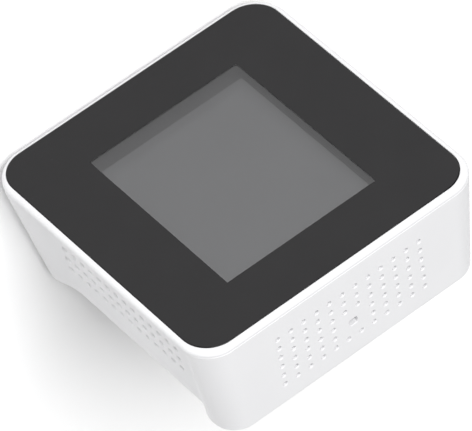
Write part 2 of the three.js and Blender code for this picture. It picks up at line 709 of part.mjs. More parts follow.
add("main_board", circuitBoard(BOARD, BOARD_SCREWS), boardGreen());
BOARD_SCREWS.forEach((at, i) =>
  add(`board_screw_${i + 1}`, screw(at, PARTS_ON_BOARD, SCREW_LENGTH.board), steel()),
);
add("processor_chip", slab(PROCESSOR), blackPlastic());
add("wifi_module", join(slab(WIFI_BASE), slab(WIFI_CAN)), steel());
add("buzzer", buzzer(), blackPlastic());
add("co2_sensor", join(slab(CO2_BODY), slab(CO2_CAP)), goldPlate());
add("sensor_board", slab(SENSOR_BOARD), boardGreen());
add("temp_humidity_sensor", topSensor(AIR_SENSOR), blackPlastic());
add("gas_sensor", topSensor(GAS_SENSOR), steel());

add("battery", battery(), finish(0x9aa0a8, 0.45));
add("battery_lead", batteryLead(), finish(0xa32020, 0.6));
add("io_board", circuitBoard(IO_BOARD, IO_SCREWS), boardGreen());
add("io_cable", ribbon(IO_CABLE), polyimide());
IO_SCREWS.forEach((at, i) =>
  add(`io_screw_${i + 1}`, screw(at, IO_BOARD.front - GAP, SCREW_LENGTH.io, -1), steel()),
);
add("charging_port", chargingPort(), steel());
add("tact_switch", switchBody(), blackPlastic());
add("switch_plunger", switchPlunger(), finish(0xd9d2c0, 0.5));
add("power_button", powerButton(), whitePlastic());

add("pm_sensor_case", particleCase(), finish(0x2b2d31, 0.6));
add("pm_sensor_lid", particleLid(), steel());
add("laser_module", join(slab(LASER), slab(LASER_NOSE)), goldPlate());
add("fan_motor", fanMotor(), blackPlastic());
add("fan_rotor", fanRotor(), blackPlastic());

add("top_dust_mesh", topMesh(), meshCloth());
add("left_dust_mesh", sideMesh(-1), meshCloth());
add("right_dust_mesh", sideMesh(1), meshCloth());

const { half, front, back, corner, thick, proud } = FOOT;
place(monitor, "base_foot", footPad(half, front, back, corner, 0, thick), greyRubber());

// Lean the case back about the middle of the glass, and stand it on its foot.
leaning.rotation.x = -LEAN;
leaning.position.z = proud - (Math.cos(LEAN) * BOTTOM - Math.sin(LEAN) * BASE_START);
monitor.add(leaning);

// Centre the case over the origin from front to back.
const frontY = Math.sin(LEAN) * BOTTOM;
const backY = Math.sin(LEAN) * TOP + Math.cos(LEAN) * DEPTH;
for (const child of monitor.children) child.position.y = -(frontY + backY) / 2;

export default monitor;
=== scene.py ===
import json
import math

import bmesh
import bpy
from mathutils import Matrix, Vector


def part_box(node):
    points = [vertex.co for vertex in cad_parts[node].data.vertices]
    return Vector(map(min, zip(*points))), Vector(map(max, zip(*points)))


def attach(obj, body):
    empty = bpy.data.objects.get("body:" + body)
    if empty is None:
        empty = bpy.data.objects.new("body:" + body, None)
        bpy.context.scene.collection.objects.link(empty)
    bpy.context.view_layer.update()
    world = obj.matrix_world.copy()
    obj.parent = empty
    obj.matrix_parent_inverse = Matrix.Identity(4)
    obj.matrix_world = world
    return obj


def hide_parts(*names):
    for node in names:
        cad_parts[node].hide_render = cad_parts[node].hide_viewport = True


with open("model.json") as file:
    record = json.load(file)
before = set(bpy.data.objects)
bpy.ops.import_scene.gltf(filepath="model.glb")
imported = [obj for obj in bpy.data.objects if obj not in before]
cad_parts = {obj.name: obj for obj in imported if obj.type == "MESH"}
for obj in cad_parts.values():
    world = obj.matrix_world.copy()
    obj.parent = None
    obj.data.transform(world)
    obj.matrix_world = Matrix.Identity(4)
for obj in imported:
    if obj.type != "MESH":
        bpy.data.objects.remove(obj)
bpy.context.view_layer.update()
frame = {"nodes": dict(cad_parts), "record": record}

# ---- Making, in millimetres unless a comment says otherwise ----------------------------------
MM = 0.001
LEAN_DEGREES = 20
LEAN = math.radians(LEAN_DEGREES)
SHARP = math.radians(35)  # edges that bend more than this stay crisp
WELD = 1e-4
CUT_WELD = 2e-6  # metres, as is the next: after the cuts a piece is in metres
CUT_SLIVER = 1e-6
AXIS = 0.001  # turned profiles start and end this close to their axis
PAST = 1.0  # how far a cutter reaches past the wall that it cuts
RIM_PAST = 0.15  # how far the cutter of a softened rim reaches above the face
RIM_BEND = math.radians(60)
RIM_STEPS = 3
CORNER_STEPS = 14
SIDE_STEPS = 96
HOLE_SIDES = 20

# ---- Case and frame --------------------------------------------------------------------------
HALF = 42.8
TOP = 43.0
BOTTOM = -42.2
DEPTH = 31.1
CORNER = 9.6
TOP_CORNER = 8.5
BACK_HALF = 38.9
BACK_TOP_CORNER = 6.8
BACK_BOTTOM_CORNER = 6.2
BASE_START = 3.7  # depth at which the slanted base begins
BASE_BLEND = 0.8
BASE_ROUND = 3.5
BACK_EDGE = 1.0
WALL = 2.0
BASE_WALL = 2.2
CAVITY_LOW_CORNER = 4
CAVITY_HIGH_CORNER = 5
RINGS = dict(first=2.0, fine=0.4, fine_end=7, coarse=1.0)

LIP = 1.4
LIP_ROUND = 1.0
PARTING = 0.07  # gap between the frame and the housing
PARTING_EDGE = 0.1
GLASS_HALF = 41.2
GLASS_CORNER = 7.9
GLASS_THICK = 0.7
GLASS_EDGE = 0.22
GLASS_BACK_EDGE = 0.1
GLASS_CLEARANCE = 0.12
SEAT = 1.0
SEAT_EDGE = 0.12
SEAT_BACK = 2.2
SEAT_SIDE_INSET = 2.4
SKIRT_INSET = 1.6
SKIRT_SIDE_INSET = 5.6
SKIRT_END = 4.0
SKIRT_THICK = 1.8
SKIRT_GAP = 0.2
SKIRT_STEP = 0.1
SKIRT_BEVEL = 0.2
OPENING = dict(half=25.4, high=30.6, corner=1)
WINDOW = dict(half=22.74, low=-26.5, high=26.9, corner=0.15)
CLEAR_FRONT, INK, CLEAR_BACK = range(3)  # the regions of the glass

RECESS_LOW = -20.8
RECESS_HIGH = 29.9
RECESS_BACK_HALF = 36.95
RECESS_TAPER = 0.09
RECESS_WALL = 1.8
RAMP_LOW_FRONT = 0.22
RAMP_LOW_BACK = 0.33
RAMP_HIGH = 0.5
RAMP_FRONT = 1.16
VALLEY_BLEND = 1.0
CREST_BLEND = 0.8
DISHED_FROM = 30  # only the points further out than this belong to the dished sides

HOLE = 0.6
HOLE_FLARE = 0.3
SIDE_HOLE_FLARE = 0.6
TOP_GRID = dict(columns=12, rows=6, pitch_x=3.94, pitch_y=3.25, first_y=8.2)
SIDE_GRID = dict(columns=14, rows=4, pitch_z=3.33, pitch_y=3.87, first_y=9.56, mid_z=2.7)
SENSOR_PORT = dict(wide=2.5, deep=2.0, y=19.5, corner=0.55, flare=0.2)

# ---- Back ------------------------------------------------------------------------------------
COVER = dict(half=32.3, low=-24.7, high=37.2, corner=4.0, edge=0.3, bevel=0.15, flare=0.25)
COVER_FRONT = 29.1
COVER_GAP = 0.15
COVER_SEAT_GAP = 0.1
LEDGE = dict(half=27.0, low=-19.3, high=31.9, corner=2.0)
LEDGE_FRONT = 26.6
COVER_SCREWS = [(-29, -21.4), (29, -21.4), (-29, 33.9), (29, 33.9)]
IO_SCREWS = [(-11, 17), (11, 17)]
BOARD_SCREWS = [(-32.2, -31.8), (32.2, -31.8), (-32.2, 33.6), (32.2, 33.6)]
SCREW_HOLE = 1.1
BOARD_BOSS = dict(root=2.5, tip=2.3, bury=0.4, end=12.6, hole=1.3, hole_floor=7)
IO_BOSS = dict(root=2.5, tip=2.3, bury=0.5, start=23, blind=1.0)
COUNTERBORE = dict(shank=1.2, head=2.1, gap=0.05, flare=0.2)

SCREW = dict(sunk=0.3, head=0.8, head_radius=1.9, head_round=0.5, length=2.6, tip=0.6)
SCREW_UNDERSIDE = [(0.8, 0), (1.75, 0), (1.88, 0.1), (1.9, 0.3)]  # radius, rise above the seat
THREAD = dict(turns=6, start=2.4, pitch=0.36)
THREAD_TURN = [(0.78, 0), (1.0, 0.12), (1.0, 0.18), (0.78, 0.3)]  # radius, rise along the shank
CROSS = dict(reach=1.05, slim=0.2, taper=0.4, depth=0.55, floor_scale=0.5, above=0.4)

FOOT = dict(half=33.0, corner=4.0, thick=1.5, edge=0.35, top_edge=0.2, gap=0.15)
GROOVES = dict(count=9, pitch=2.4, half=28, mouth=0.55, floor=0.3, below=0.3, depth=0.28)
BUTTON = dict(x=0, z=24, radius=4.0, proud=0.6, edge=0.45, dish=0.22, dish_edge=0.1, dish_steps=8,
              gap=0.15, flare=0.25, stem=1.2, stem_end=26.9)
FLANGE = dict(radius=5.0, bevel=0.15, start=1.4, stop=0.5, neck=0.2, neck_end=0.3)
PORT = dict(z=10, half=4.5, high=1.7, wall=0.35, front=23.0, back=30.1, start=0.6, floor=1,
            mouth=0.12, mouth_bevel=0.08, gap=0.25, flare=0.3)
PILL_FLAT = 0.01  # what is left straight between the two rounds of each end
TONGUE = dict(half=3.3, high=0.34, start=0.9, end=0.8, tip_half=3.15, tip_high=0.2, tip_end=0.65,
              corner=0.12)
CONTACTS = dict(count=12, pitch=0.5, half=0.13, high=0.03, corner=0.02, off=0.355, inset=1.2)
LCD = dict(half=27.2, high=32.0, corner=0.6, front=5.2, back=7.0, behind_film=0.12)
LCD_FILM = dict(half=23.3, low=-26.2, high=27.6, corner=0.3, thick=0.1)
LCD_BEVEL = 0.05

# ---- Glass looks -----------------------------------------------------------------------------
GLASS_IOR = 1.5
POLISH = (0.015, 0.04)  # roughness of the polished face
PANE_TINTS = [(0.955, 0.957, 0.96), (0.975, 0.977, 0.98)]

# ---- Studio, in metres -----------------------------------------------------------------------
CAMERA_PLACE = Vector((0.43977, -0.64192, 1.04529))
CAMERA_RIGHT = Vector((-0.774426, 0.324380, 0.543178))
CAMERA_UP = Vector((-0.530626, -0.800567, -0.278441))
CAMERA_LENS = 402.08  # millimetres, as is the sensor
CAMERA_SENSOR = 36
CAMERA_REACH = 20
FLOOR_REACH = 3
KEY_LIGHT = dict(direction=(0.057, -0.337, 0.94), distance=2.2, size=2.2, power=65)
FILL_LIGHT = dict(direction=(0.9, -0.3, 0.35), distance=2.2, size=2.2, power=3)
WORLD_LIGHT = 0.2


def mix(a, b, t):
    return a + (b - a) * t


def along(y):
    """How far a depth is from the frame's back edge, 0, to the case's back, 1."""
    return (y - LIP) / (DEPTH - LIP)


def smooth_min(a, b, blend):
    near = max(blend - abs(a - b), 0) / blend
    return min(a, b) - near * near * blend / 4


def smooth_max(a, b, blend):
    return -smooth_min(-a, -b, blend)


# ---- Axes ------------------------------------------------------------------------------------
def case_axes():
    """Case millimetres to metres in the row frame, placed by the cover glass."""
    low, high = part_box("cover_glass")
    turn = Matrix.Rotation(-LEAN, 4, "X") @ Matrix.Scale(MM, 4)
    offset = (low + high) / 2 - turn @ Vector((0, GLASS_THICK / 2, 0))
    return Matrix.Translation(offset) @ turn


CASE = case_axes()


# ---- Meshes ----------------------------------------------------------------------------------
def rounded(x0, x1, z0, z1, low_radius, high_radius=None, steps=10, side_steps=1):
    """A rounded outline as (x, z) points, anticlockwise seen from the front, from the upper right."""
    high_radius = low_radius if high_radius is None else high_radius
    corners = [
        (x1 - high_radius, z1 - high_radius, high_radius),
        (x0 + high_radius, z1 - high_radius, high_radius),
        (x0 + low_radius, z0 + low_radius, low_radius),
        (x1 - low_radius, z0 + low_radius, low_radius),
    ]
    points = []
    for quarter, (x, z, radius) in enumerate(corners):
        for i in range(steps + 1):
            angle = (quarter + i / steps) * math.pi / 2
            points.append((x + radius * math.cos(angle), z + radius * math.sin(angle)))
        if quarter in (1, 3):
            points += side_points(points[-1], quarter, corners, side_steps)
    return points


def side_points(start, quarter, corners, side_steps):
    """Points down the left side, or up the right side, between two corners."""
    x, z, radius = corners[(quarter + 1) % 4]
    end_x = x - radius if quarter == 1 else x + radius
    return [
        (mix(start[0], end_x, i / side_steps), mix(start[1], z, i / side_steps))
        for i in range(1, side_steps)
    ]


def about(x, z, half, high, corner, steps):
    """A rounded outline about a middle point."""
    return rounded(x - half, x + half, z - high, z + high, corner, steps=steps)


def at_depth(points, y):
    return [Vector((x, y, z)) for x, z in points]


def level(points, height):
    return [Vector((x, y, height)) for x, y in points]


def turns(sides):
    return [2 * math.pi * i / sides for i in range(sides)]


def fillet(radius, steps, start=0.0, end=90.0):
    """(sine, cosine) pairs times the radius, over a range of degrees."""
    angles = [math.radians(mix(start, end, i / steps)) for i in range(steps + 1)]
    return [(radius * math.sin(a), radius * math.cos(a)) for a in angles]


def flare(size):
    """(growth, height) pairs for the softened rim of a cut, from inside a wall to above its face."""
    angles = [RIM_BEND * i / RIM_STEPS for i in range(RIM_STEPS + 1)]
    pairs = [(size * (1 - math.cos(a)), size * (math.sin(a) - 1)) for a in angles]
    growth, height = pairs[-1]
    return pairs + [(growth + (RIM_PAST - height) * math.tan(RIM_BEND), RIM_PAST)]


def shade(piece):
    for face in piece.data.polygons:
        face.use_smooth = True
    piece.data.set_sharp_from_angle(angle=SHARP)


def finish_mesh(bm, name, axes=CASE):
    """An object from a bmesh in the given axes, shaded smooth up to the sharp angle."""
    bmesh.ops.remove_doubles(bm, verts=bm.verts, dist=WELD)
    bmesh.ops.dissolve_degenerate(bm, edges=bm.edges, dist=WELD)
    bmesh.ops.transform(bm, matrix=axes, verts=bm.verts)
    bmesh.ops.recalc_face_normals(bm, faces=bm.faces)
    mesh = bpy.data.meshes.new(name)
    bm.to_mesh(mesh)
    bm.free()
    piece = bpy.data.objects.new(name, mesh)
    bpy.context.scene.collection.objects.link(piece)
    shade(piece)
    return piece


def add_bands(bm, rings, closed=False):
    """Faces between rings of equal count; closed joins the last ring to the first."""
    loops = [[bm.verts.new(point) for point in ring] for ring in rings]
    count = len(loops[0])
    following = loops[1:] + (loops[:1] if closed else [])
    for front, back in zip(loops, following):
        for i in range(count):
            j = (i + 1) % count
            bm.faces.new((front[i], back[i], back[j], front[j]))
    return loops


def add_loft(bm, rings, closed=False):
    """A solid through rings: joined round, or with its two ends filled."""
    loops = add_bands(bm, rings, closed)
    if not closed:
        bm.faces.new(loops[0])
        bm.faces.new(list(reversed(loops[-1])))


def lofted(name, rings, closed=False, axes=CASE):
    bm = bmesh.new()
    add_loft(bm, rings, closed)
    return finish_mesh(bm, name, axes)


def lathe(name, profile, x, z, sides):
    """A turned solid about the depth axis; profile holds (radius, y) pairs from axis to axis."""
    rings = [
        [Vector((x + radius * math.cos(a), y, z + radius * math.sin(a))) for a in turns(sides)]
        for radius, y in profile
    ]
    return lofted(name, rings)


def apply_modifiers(piece):
    bpy.context.view_layer.update()
    graph = bpy.context.evaluated_depsgraph_get()
    mesh = bpy.data.meshes.new_from_object(piece.evaluated_get(graph))
    piece.modifiers.clear()
    piece.data = mesh


def change(piece, cutters, operation):
    """Cuts solids out of a piece or joins them to it, and deletes them."""
    for cutter in cutters:
        modifier = piece.modifiers.new(cutter.name, "BOOLEAN")
        modifier.operation = operation
        modifier.solver = "EXACT"
        modifier.object = cutter
    apply_modifiers(piece)
    for cutter in cutters:
        bpy.data.objects.remove(cutter)


def settle(piece):
    """Cleans up after boolean cuts and weights the normals towards the large faces."""
    bm = bmesh.new()
    bm.from_mesh(piece.data)
    bmesh.ops.remove_doubles(bm, verts=bm.verts, dist=CUT_WELD)
    bmesh.ops.dissolve_degenerate(bm, edges=bm.edges, dist=CUT_SLIVER)
    bm.to_mesh(piece.data)
    bm.free()
    shade(piece)
    weighted = piece.modifiers.new("weighted", "WEIGHTED_NORMAL")
    weighted.keep_sharp = True
    weighted.weight = 100
    apply_modifiers(piece)


# ---- The case's outer form -------------------------------------------------------------------
def half_at(y):
    return mix(HALF, BACK_HALF, along(y))


def base_at(y):
    """Height of the slanted base at a depth."""
    return BOTTOM + smooth_max(0, y - BASE_START, BASE_BLEND) * math.tan(LEAN)


def turn_in(y, radius):
    """How far the round at the back edge has pulled in at a depth."""
    into = min(max(0, y - (DEPTH - radius)), radius)
    return radius - math.sqrt(radius * radius - into * into)


def recess_at(y):
    return RECESS_BACK_HALF + RECESS_TAPER * (DEPTH - y)


def recess_surface(y, z):
    """Half width of the dished side panel at a depth and height."""
    floor = recess_at(y) - turn_in(y, BACK_EDGE)
    low = floor + (RECESS_LOW - z) * mix(RAMP_LOW_FRONT, RAMP_LOW_BACK, along(y))
    high = floor + (z - RECESS_HIGH) * RAMP_HIGH
    dish = smooth_max(smooth_max(floor, low, VALLEY_BLEND), high, VALLEY_BLEND)
    front = HALF - (y - LIP - PARTING) * RAMP_FRONT
    return smooth_max(dish, front, CREST_BLEND)


def case_ring(y, bottom, edge=0.0):
    """The case's outline at a depth, with its sides dished; edge pulls it in all round."""
    inset = turn_in(y, BACK_EDGE) + edge
    outline = rounded(
        -half_at(y) + inset, half_at(y) - inset, bottom + edge, TOP - inset,
        mix(CORNER, BACK_BOTTOM_CORNER, along(y)) - edge,
        mix(TOP_CORNER, BACK_TOP_CORNER, along(y)) - inset,
        steps=CORNER_STEPS, side_steps=SIDE_STEPS,
    )
    ring = []
    for x, z in outline:
        half = abs(x)
        if half > DISHED_FROM:
            half = smooth_min(half, recess_surface(y, z) - edge, CREST_BLEND)
        ring.append(Vector((math.copysign(half, x), y, z)))
    return ring


def case_body():
    """The solid outer form, from the parting line to the round where the base meets the back."""
    start = LIP + PARTING
    rings = [case_ring(start, BOTTOM, PARTING_EDGE)]
    depths = [start + PARTING_EDGE, start + 2 * PARTING_EDGE]
    centre_y = DEPTH - BASE_ROUND
    centre_z = base_at(centre_y) + BASE_ROUND / math.cos(LEAN)
    base_end = centre_y + BASE_ROUND * math.sin(LEAN)
    y = RINGS["first"]
    while y < base_end - RINGS["fine"]:
        depths.append(y)
        y += RINGS["fine"] if y < RINGS["fine_end"] else RINGS["coarse"]
    rings += [case_ring(y, base_at(y)) for y in depths]
    for sine, cosine in fillet(BASE_ROUND, steps=22, start=LEAN_DEGREES):
        rings.append(case_ring(centre_y + sine, centre_z - cosine))
    return lofted("rear_housing_shell", rings)


def cavity():
    rings = []
    for y in (SKIRT_END, LEDGE_FRONT):
        half = recess_at(y)
        outline = rounded(
            -half + RECESS_WALL, half - RECESS_WALL,
            base_at(y) + BASE_WALL / math.cos(LEAN), TOP - WALL,
            CAVITY_LOW_CORNER, CAVITY_HIGH_CORNER, steps=6,
        )
        rings.append(at_depth(outline, y))
    return lofted("cavity", rings)


def frame_outline(inset, side_inset=None):
    half = HALF - (inset if side_inset is None else side_inset)
    return rounded(-half, half, BOTTOM + inset, TOP - inset, CORNER - inset, TOP_CORNER - inset,
                   steps=CORNER_STEPS)


def frame_pocket(name, side_inset, end):
    outline = frame_outline(SKIRT_INSET - SKIRT_GAP, side_inset - SKIRT_GAP)
    return lofted(name, [at_depth(outline, -PAST), at_depth(outline, end + SKIRT_GAP)])


def cover_outline(grow):
    half = COVER["half"] + grow
    return rounded(-half, half, COVER["low"] - grow, COVER["high"] + grow, COVER["corner"] + grow)


def cover_pocket():
    """The seat of the back cover, with a softened rim."""
    rings = [at_depth(cover_outline(COVER_GAP), COVER_FRONT - COVER_SEAT_GAP)]
    rings += [at_depth(cover_outline(COVER_GAP + growth), DEPTH + height)
              for growth, height in flare(COVER["flare"])]
    return lofted("cover_pocket", rings)


def ledge_opening():
    half = LEDGE["half"]
    outline = rounded(-half, half, LEDGE["low"], LEDGE["high"], LEDGE["corner"])
    return lofted("ledge_opening", [at_depth(outline, LEDGE_FRONT - PAST), at_depth(outline, DEPTH)])


def add_hole(bm, centre, directions, depth, rim):
    """A hole cutter that opens out at the surface point centre; the first direction leaves the wall."""
    outward, across, up = directions
    rings = []
    for growth, height in [(0, -depth)] + flare(rim):
        middle = centre + outward * height
        reach = HOLE + growth
        rings.append([middle + (across * math.cos(a) + up * math.sin(a)) * reach
                      for a in turns(HOLE_SIDES)])
    add_loft(bm, rings)


def top_holes():
    """The top grid, without the holes that the sensor port takes the place of."""
    columns, rows = TOP_GRID["columns"], TOP_GRID["rows"]
    pitch_x, pitch_y = TOP_GRID["pitch_x"], TOP_GRID["pitch_y"]
    directions = Vector((0, 0, 1)), Vector((1, 0, 0)), Vector((0, 1, 0))
    bm = bmesh.new()
    for i in range(columns):
        for k in range(rows):
            x = (i - (columns - 1) / 2) * pitch_x
            y = TOP_GRID["first_y"] + k * pitch_y
            if abs(x) < pitch_x and abs(y - SENSOR_PORT["y"]) < pitch_y:
                continue
            add_hole(bm, Vector((x, y, TOP)), directions, WALL + PAST, HOLE_FLARE)
    return finish_mesh(bm, "top_holes")


def sensor_port():
    """The larger hole in the top, over the temperature and humidity sensor."""
    half, half_deep, y = SENSOR_PORT["wide"] / 2, SENSOR_PORT["deep"] / 2, SENSOR_PORT["y"]
    rings = []
    for grow, height in [(0, -WALL - PAST)] + flare(SENSOR_PORT["flare"]):
        outline = rounded(-half - grow, half + grow, y - half_deep - grow, y + half_deep + grow,
                          SENSOR_PORT["corner"] + grow, steps=6)
        rings.append(level(outline, TOP + height))
    return lofted("sensor_port", rings)


def side_holes():
    grid = SIDE_GRID
    bm = bmesh.new()
    for side in (-1, 1):
        outward = Vector((side, RECESS_TAPER, 0)).normalized()
        up = Vector((0, 0, 1))
        directions = outward, up.cross(outward), up
        for i in range(grid["columns"]):
            for k in range(grid["rows"]):
                z = grid["mid_z"] + (i - (grid["columns"] - 1) / 2) * grid["pitch_z"]
                y = grid["first_y"] + k * grid["pitch_y"]
                centre = Vector((side * recess_at(y), y, z))
                add_hole(bm, centre, directions, RECESS_WALL + PAST, SIDE_HOLE_FLARE)
    return finish_mesh(bm, "side_holes")


def foot_axes():
    """Millimetres on the base plane, upright, centred on the foot, to metres."""
    low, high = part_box("base_foot")
    middle = (low + high) / 2
    return Matrix.Translation((middle.x, middle.y, low.z)) @ Matrix.Scale(MM, 4)


def foot_outline(grow):
    low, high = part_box("base_foot")
    half_deep = (high.y - low.y) / 2 / MM + grow
    half = FOOT["half"] + grow
    return rounded(-half, half, -half_deep, half_deep, FOOT["corner"] + grow)


def foot_well():
    outline = foot_outline(FOOT["gap"])
    rings = [level(outline, -PAST), level(outline, FOOT["thick"] + FOOT["gap"])]
    return lofted("foot_well", rings, axes=foot_axes())


def screw_hole(name, x, z, y0, y1):
    return lathe(name, [(AXIS, y0), (SCREW_HOLE, y0), (SCREW_HOLE, y1), (AXIS, y1)], x, z, sides=24)


def rear_housing():
    shell = case_body()
    cutters = [
        frame_pocket("seat_pocket", SEAT_SIDE_INSET, SEAT_BACK),
        frame_pocket("skirt_pocket", SKIRT_SIDE_INSET, SKIRT_END),
        cavity(),
        cover_pocket(),
        ledge_opening(),
        foot_well(),
        top_holes(),
        sensor_port(),
        side_holes(),
    ]
    cutters += [screw_hole(f"cover_hole_{i}", x, z, LEDGE_FRONT - PAST, DEPTH)
                for i, (x, z) in enumerate(COVER_SCREWS)]
    change(shell, cutters, "DIFFERENCE")
    return shell


# ---- Frame and glass -------------------------------------------------------------------------
def glass_outline(grow=0.0):
    half = GLASS_HALF + grow
    return rounded(-half, half, -half, half, GLASS_CORNER + grow, steps=CORNER_STEPS)


def front_frame():
    """The rim round the glass, its seat, the skirt that plugs into the housing, and four bosses."""
    pocket = GLASS_CLEARANCE
    half, high = OPENING["half"], OPENING["high"]
    opening = rounded(-half, half, -high, high, OPENING["corner"], steps=CORNER_STEPS)
    seat_side = frame_outline(SKIRT_INSET, SEAT_SIDE_INSET)
    skirt_out = frame_outline(SKIRT_INSET + SKIRT_STEP, SKIRT_SIDE_INSET)
    skirt_end = frame_outline(SKIRT_INSET + SKIRT_STEP + SKIRT_BEVEL, SKIRT_SIDE_INSET + SKIRT_BEVEL)
    skirt_in = frame_outline(SKIRT_INSET + SKIRT_THICK, SKIRT_SIDE_INSET + SKIRT_THICK)
    rings = [
        at_depth(opening, SEAT),
        at_depth(glass_outline(pocket), SEAT),
        at_depth(glass_outline(pocket), SEAT_EDGE),
    ]
    rings += [at_depth(glass_outline(pocket + SEAT_EDGE - cosine), SEAT_EDGE - sine)
              for sine, cosine in fillet(SEAT_EDGE, steps=4)[1:]]
    rings += [at_depth(frame_outline(LIP_ROUND - sine), LIP_ROUND - cosine)
              for sine, cosine in fillet(LIP_ROUND, steps=10)]
    rings += [
        at_depth(frame_outline(0), LIP - PARTING_EDGE),
        at_depth(frame_outline(PARTING_EDGE), LIP),
        at_depth(seat_side, LIP),
        at_depth(seat_side, SEAT_BACK),
        at_depth(skirt_out, SEAT_BACK),
        at_depth(skirt_out, SKIRT_END - SKIRT_BEVEL),
        at_depth(skirt_end, SKIRT_END),
        at_depth(skirt_in, SKIRT_END),
        at_depth(skirt_in, SEAT_BACK),
        at_depth(opening, SEAT_BACK),
    ]
    rim = lofted("front_frame_shell", rings, closed=True)
    start, end = SEAT_BACK - BOARD_BOSS["bury"], BOARD_BOSS["end"]
    hole, hole_floor = BOARD_BOSS["hole"], BOARD_BOSS["hole_floor"]
    profile = [(AXIS, start), (BOARD_BOSS["root"], start), (BOARD_BOSS["tip"], end),
               (hole, end), (hole, hole_floor), (AXIS, hole_floor)]
    bosses = [lathe(f"frame_boss_{i}", profile, x, z, sides=32) for i, (x, z) in enumerate(BOARD_SCREWS)]
    change(rim, bosses, "UNION")
    return rim


def cover_glass():
    """The glass: ink over its border and edges, and a clear window through its front and back."""
    rings = [at_depth(glass_outline(-GLASS_EDGE + sine), GLASS_EDGE - cosine)
             for sine, cosine in fillet(GLASS_EDGE, steps=5)]
    rings += [at_depth(glass_outline(), GLASS_THICK - GLASS_BACK_EDGE),
              at_depth(glass_outline(-GLASS_BACK_EDGE), GLASS_THICK)]
    bm = bmesh.new()
    loops = add_bands(bm, rings)
    half = WINDOW["half"]
    window = rounded(-half, half, WINDOW["low"], WINDOW["high"], WINDOW["corner"], steps=3)
    inner = [bm.verts.new(point) for point in at_depth(window, 0)]
    window_face = bm.faces.new(inner)
    edges = [bm.edges.get((loop[i], loop[(i + 1) % len(loop)])) for loop in (loops[0], inner)
             for i in range(len(loop))]
    bmesh.ops.triangle_fill(bm, use_beauty=True, edges=edges)
    for face in bm.faces:
        face.material_index = INK
    back_face = bm.faces.new(list(reversed(loops[-1])))
    back_face.material_index = CLEAR_BACK
    window_face.material_index = CLEAR_FRONT
    return finish_mesh(bm, "cover_glass_plate")


# ---- Back ------------------------------------------------------------------------------------
def back_cover():
    """The plate in the back with its two bosses, screw holes and openings."""
    edge, bevel = COVER["edge"], COVER["bevel"]
    rings = [at_depth(cover_outline(-bevel), COVER_FRONT),
             at_depth(cover_outline(0), COVER_FRONT + bevel)]
    rings += [at_depth(cover_outline(-edge + cosine), DEPTH - edge + sine)
              for sine, cosine in fillet(edge, steps=5)]
    cover = lofted("back_cover_plate", rings)
    start, end = IO_BOSS["start"], COVER_FRONT + IO_BOSS["bury"]
    profile = [(AXIS, start), (IO_BOSS["tip"], start), (IO_BOSS["root"], end), (AXIS, end)]
    bosses = [lathe(f"cover_boss_{i}", profile, x, z, sides=32) for i, (x, z) in enumerate(IO_SCREWS)]
    change(cover, bosses, "UNION")
    cutters = [port_opening(), button_opening()]
    cutters += [counterbore(i, x, z) for i, (x, z) in enumerate(COVER_SCREWS)]
    cutters += [screw_hole(f"io_hole_{i}", x, z, start - PAST, COVER_FRONT - IO_BOSS["blind"])
                for i, (x, z) in enumerate(IO_SCREWS)]
    change(cover, cutters, "DIFFERENCE")
    return cover


def rimmed(profile, radius, rim):
    """A cutter's profile carried on out through the back, with a softened rim."""
    out = [(radius + growth, DEPTH + height) for growth, height in flare(rim)]
    return profile + out + [(AXIS, out[-1][1])]


def counterbore(index, x, z):
    seat = DEPTH - SCREW["sunk"] - SCREW["head"] - COUNTERBORE["gap"]
    shank, head = COUNTERBORE["shank"], COUNTERBORE["head"]
    profile = [(AXIS, COVER_FRONT - PAST), (shank, COVER_FRONT - PAST), (shank, seat), (head, seat)]
    profile = rimmed(profile, head, COUNTERBORE["flare"])
    return lathe(f"counterbore_{index}", profile, x, z, sides=32)


def button_opening():
    radius = BUTTON["radius"] + BUTTON["gap"]
    profile = [(AXIS, COVER_FRONT - PAST), (radius, COVER_FRONT - PAST)]
    profile = rimmed(profile, radius, BUTTON["flare"])
    return lathe("button_opening", profile, BUTTON["x"], BUTTON["z"], sides=64)


def pill(grow):
    """The port's outline with its round ends, grown or shrunk."""
    half, high = PORT["half"] + grow, PORT["high"] + grow
    return about(0, PORT["z"], half, high, high - PILL_FLAT, steps=12)


def port_opening():
    gap = PORT["gap"]
    rings = [at_depth(pill(gap), COVER_FRONT - PAST)]
    rings += [at_depth(pill(gap + growth), DEPTH + height) for growth, height in flare(PORT["flare"])]
    return lofted("port_opening", rings)


def power_button():
    """A round cap with a soft edge and a shallow dish for the fingertip, on a flange and a stem."""
    radius, edge = BUTTON["radius"], BUTTON["edge"]
    stem, stem_end = BUTTON["stem"], BUTTON["stem_end"]
    flange, bevel, neck = FLANGE["radius"], FLANGE["bevel"], FLANGE["neck"]
    face = DEPTH + BUTTON["proud"]
    start, stop = COVER_FRONT - FLANGE["start"], COVER_FRONT - FLANGE["stop"]
    profile = [(AXIS, stem_end), (stem, stem_end), (stem, start), (flange - bevel, start),
               (flange, start + bevel), (flange, stop), (radius + neck, stop),
               (radius, COVER_FRONT - FLANGE["neck_end"])]
    profile += [(radius - edge + cosine, face - edge + sine) for sine, cosine in fillet(edge, steps=7)]
    rim = radius - edge - BUTTON["dish_edge"]
    for i in range(1, BUTTON["dish_steps"] + 1):
        share = i / BUTTON["dish_steps"]
        depth = BUTTON["dish"] * (1 - math.cos(math.pi * share)) / 2
        profile.append((max(rim * (1 - share), AXIS), face - depth))
    return lathe("power_button_cap", profile, BUTTON["x"], BUTTON["z"], sides=72)


